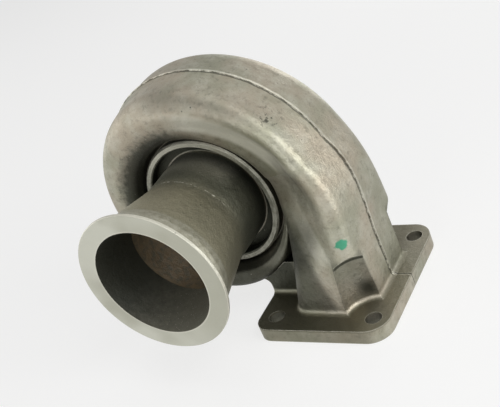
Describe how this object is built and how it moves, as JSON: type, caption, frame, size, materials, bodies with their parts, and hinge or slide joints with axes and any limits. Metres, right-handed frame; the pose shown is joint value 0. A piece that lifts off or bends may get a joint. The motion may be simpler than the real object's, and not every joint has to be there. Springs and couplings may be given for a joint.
{
  "type": "turbocharger turbine housing",
  "caption": "Cast divided turbine volute on a rectangular bolt foot, with a flared outlet tube ending in a clamp rim and a clamp rim for the bearing housing.",
  "frame": {"origin": "centre of the four foot bolts, on the foot flange's mounting face", "axes": "+Z from the mounting face up into the casting, +X to the side away from the scroll, -Y the way the outlet opens"},
  "size_m": [0.2428, 0.1955, 0.2229],
  "materials": {
    "casting": "shot-blasted cast iron, with the clamp rims and bores turned"
  },
  "bodies": {
    "root": {"turbine_housing": "casting"}
  },
  "joints": []
}
